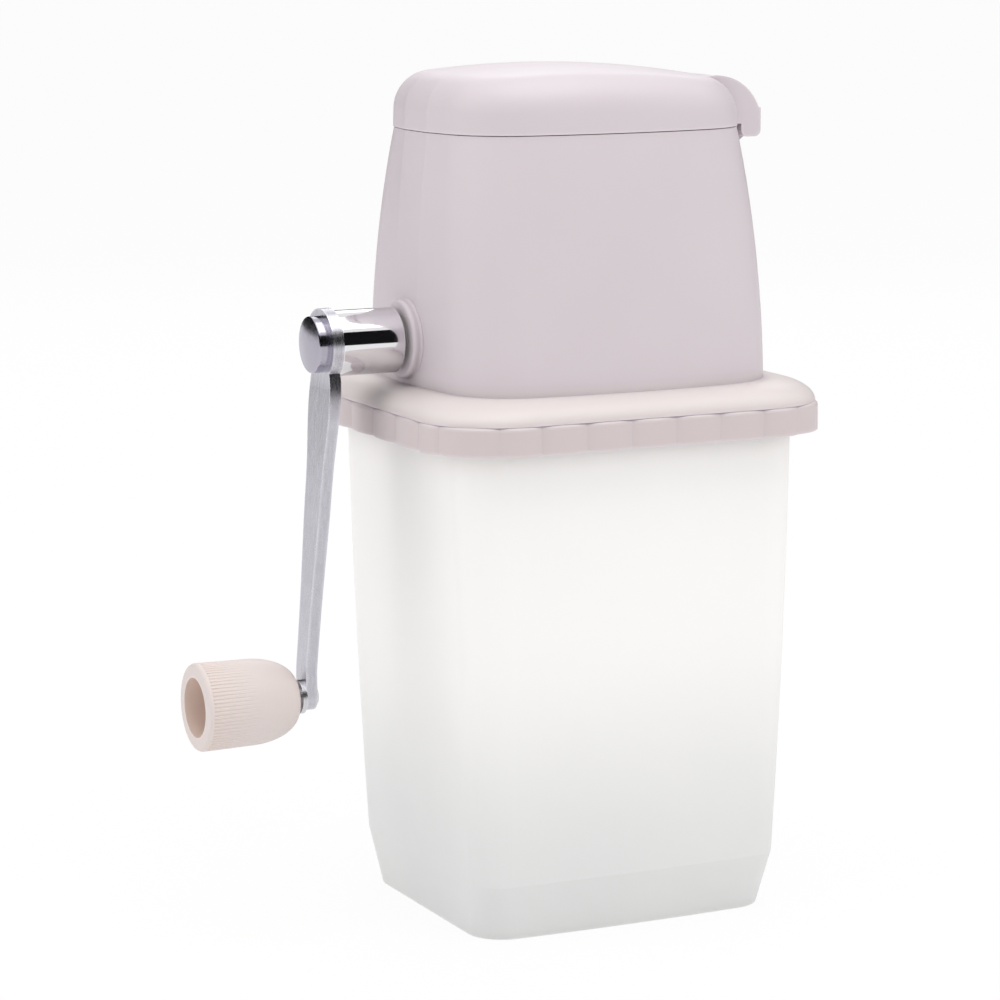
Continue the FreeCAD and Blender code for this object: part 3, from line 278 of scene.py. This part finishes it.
def moulded_plastic(name, colour, roughness, grain=1400.0, collar=None, bore_light=None):
    """Moulded plastic: fine spark texture, slow colour drift, soft handling marks.

    The collar gives painted light on the bullnose and painted shade on the skirt; the bore
    colour gives painted warm bounce light deep in a bore. Inner corners get painted shade and
    edges a painted highlight.
    """
    look = Shader(name, colour, roughness)
    tone = look.drift(colour, scale=14.0, detail=2.0, factors=PLASTIC_DRIFT)
    if collar:
        bullnose, skirt = collar
        # Painted light on the bullnose and painted shade on the skirt, by height.
        tone = look.tint(look.height(*BULLNOSE_LIGHT_FADE), bullnose, tone)
        tone = look.tint(look.height(*SKIRT_SHADE_FADE), skirt, tone)
    # Painted shade in inner corners, painted highlight on edges.
    tone = look.paint_shade_and_highlight(tone, colour, PLASTIC_CORNER_SHADE, PLASTIC_EDGE_HIGHLIGHT)
    if bore_light:
        # Painted warm bounce light deep in the bore and other recesses.
        look.tint(look.near_corners(BORE_BOUNCE_REACH, False), tone, bore_light)
    marks = look.noise(scale=60.0, detail=5.0)
    look.rough(marks, low=roughness - 0.05, high=roughness + 0.07)
    wave = look.bump(look.noise(scale=26.0, detail=1.0), strength=0.10, distance=0.0006)
    look.bump(look.noise(grain, detail=2.0), strength=0.25, distance=0.00006, over=wave)
    look.shader.inputs["IOR"].default_value = PLASTIC_IOR
    return look.material


def cup_plastic():
    """Natural polypropylene: milky, lets a little light through, satin outside, with painted
    shade towards the bottom and a painted highlight on its edges.
    """
    look = Shader("cup_milky", CUP_HIGH, 0.34)
    # Painted shade: the cup darkens towards the bottom.
    tone = look.tint(look.height(*CUP_SHADE_FADE), CUP_LOW_PAINTED_SHADE, CUP_HIGH)
    cloud = look.spread(look.noise(scale=9.0, detail=4.0), low=0.0, high=0.35)
    tone = look.tint(cloud, tone, CUP_CLOUD)
    # Painted highlight on the cup's edges.
    tone = look.tint(look.near_corners(EDGE_HIGHLIGHT_REACH, True), tone, CUP_HIGH)
    look.rough(look.noise(scale=45.0, detail=4.0), low=0.28, high=0.42)
    wave = look.bump(look.noise(scale=20.0, detail=1.0), strength=0.14, distance=0.0008)
    grain = look.noise(scale=1100.0, detail=2.0)
    normal = look.bump(grain, strength=0.2, distance=0.00005, over=wave)
    look.shader.inputs["IOR"].default_value = CUP_IOR
    through = look.add("ShaderNodeBsdfTranslucent")
    look.link(tone, through.inputs["Color"])
    look.link(normal, through.inputs["Normal"])
    share = mix_shaders(look.tree, look.shader.outputs[0], through.outputs[0],
                        look.output.inputs["Surface"])
    share.default_value = CUP_THROUGH
    return look.material


def plated_metal(name, colour, low, high, stretch, scratch=0.05):
    """Plated or stamped steel with fine marks that run along the least stretch."""
    look = Shader(name, colour, low, metallic=1.0)
    tone = look.drift(colour, scale=30.0, detail=3.0, factors=METAL_DRIFT)
    # Painted shade in inner corners, painted highlight on edges.
    look.paint_shade_and_highlight(tone, colour, METAL_CORNER_SHADE, METAL_EDGE_HIGHLIGHT)
    marks = look.noise(scale=220.0, detail=4.0, roughness=0.6, stretch=stretch)
    look.rough(marks, low, high)
    look.bump(marks, scratch, distance=0.00002)
    return look.material


def paint(material, *names):
    """Gives CAD nodes a material. Their meshes stay as they are."""
    for name in names:
        mesh = nodes[name].data
        mesh.materials.clear()
        mesh.materials.append(material)


def starting(prefix):
    return [name for name in nodes if name.startswith(prefix)]


def dress_housing():
    white = moulded_plastic("white_plastic", TOWER_WHITE, 0.42,
                            collar=(BULLNOSE_PAINTED_LIGHT, SKIRT_PAINTED_SHADE))
    paint(white, "hopper_housing", "lid")


def dress_knob():
    cream = moulded_plastic("knob_plastic", KNOB_CREAM, 0.5, grain=1700.0, bore_light=KNOB_BORE_BOUNCE_LIGHT)
    paint(cream, "crank_knob")


def dress_bushes():
    natural = moulded_plastic("bush_plastic", BUSH_NATURAL, 0.4)
    paint(natural, "crank_side_bush", "far_side_bush")


def dress_crank():
    """Bright sleeve, duller cap, and an arm with marks along its length."""
    paint(plated_metal("chrome_plate", SLEEVE_CHROME, 0.04, 0.08, (1, 6, 6)), "hub_sleeve")
    paint(plated_metal("chrome_cap", CAP_CHROME, 0.12, 0.22, (4, 4, 4)), "crank_cap_nut")
    paint(plated_metal("chrome_bar", ARM_CHROME, 0.22, 0.36, (8, 8, 1), 0.1), "crank_arm")


def dress_inner_steel():
    """Zinc plated turned pieces, and stamped blades and combs."""
    zinc = plated_metal("zinc_steel", ZINC_STEEL, 0.25, 0.42, (1, 1, 1), 0.1)
    paint(zinc, "breaker_comb_screws", "crusher_shaft", "knob_spindle", "knob_washer",
          "lid_hinge_pin", "end_spacer_crank_side", "end_spacer_far_side",
          *starting("blade_spacer"))
    stamped = plated_metal("stamped_stainless", STAINLESS, 0.22, 0.36, (8, 1, 1), 0.15)
    paint(stamped, "breaker_comb_front", "breaker_comb_rear", *starting("ice_blade"))


def make_floor():
    """Pale paper that keeps the object's shadow and looks white where it is seen."""
    mesh = bpy.data.meshes.new("floor")
    half = FLOOR_SIZE / 2
    mesh.from_pydata([(-half, -half, 0), (half, -half, 0), (half, half, 0), (-half, half, 0)],
                     [], [(0, 1, 2, 3)])
    floor = bpy.data.objects.new("floor", mesh)
    bpy.context.scene.collection.objects.link(floor)
    look = Shader("floor_paper", FLOOR_COLOUR, FLOOR_ROUGHNESS)
    look.drift(FLOOR_COLOUR, scale=3.0, detail=3.0, factors=(FLOOR_DRIFT, 1.0))
    glow = look.add("ShaderNodeEmission")
    glow.inputs["Strength"].default_value = 1.0
    share = look.add("ShaderNodeMath", operation="MULTIPLY")
    share.inputs[1].default_value = FLOOR_GLOW
    look.link(seen_rays(look.tree), share.inputs[0])
    factor = mix_shaders(look.tree, look.shader.outputs[0], glow.outputs[0],
                         look.output.inputs["Surface"])
    look.link(share.outputs[0], factor)
    mesh.materials.append(look.material)


def make_surround():
    """Dark wall round the studio. Only glossy rays see it."""
    rim = []
    for side in range(SURROUND_SIDES):
        turn = math.tau * side / SURROUND_SIDES
        rim.append((SURROUND_RADIUS * math.cos(turn), SURROUND_RADIUS * math.sin(turn)))
    points = [(x, y, z) for z in (SURROUND_LOW, SURROUND_HIGH) for x, y in rim]
    faces = []
    for side in range(SURROUND_SIDES):
        ahead = (side + 1) % SURROUND_SIDES
        faces.append((side, ahead, ahead + SURROUND_SIDES, side + SURROUND_SIDES))
    mesh = bpy.data.meshes.new("surround")
    mesh.from_pydata(points, [], faces)
    surround = bpy.data.objects.new("surround", mesh)
    bpy.context.scene.collection.objects.link(surround)
    cloth = Shader("surround_cloth", SURROUND_CLOTH, SURROUND_ROUGHNESS)
    cloth.shader.inputs["Specular IOR Level"].default_value = 0.0
    mesh.materials.append(cloth.material)
    surround.visible_camera = False
    surround.visible_diffuse = False
    surround.visible_transmission = False
    surround.visible_shadow = False


make_camera()
for lamp in LAMPS:
    make_lamp(*lamp)
make_world()
dress_housing()
paint(cup_plastic(), "ice_cup")
dress_knob()
dress_bushes()
dress_crank()
dress_inner_steel()
make_floor()
make_surround()
bpy.context.scene.view_settings.view_transform = "Standard"
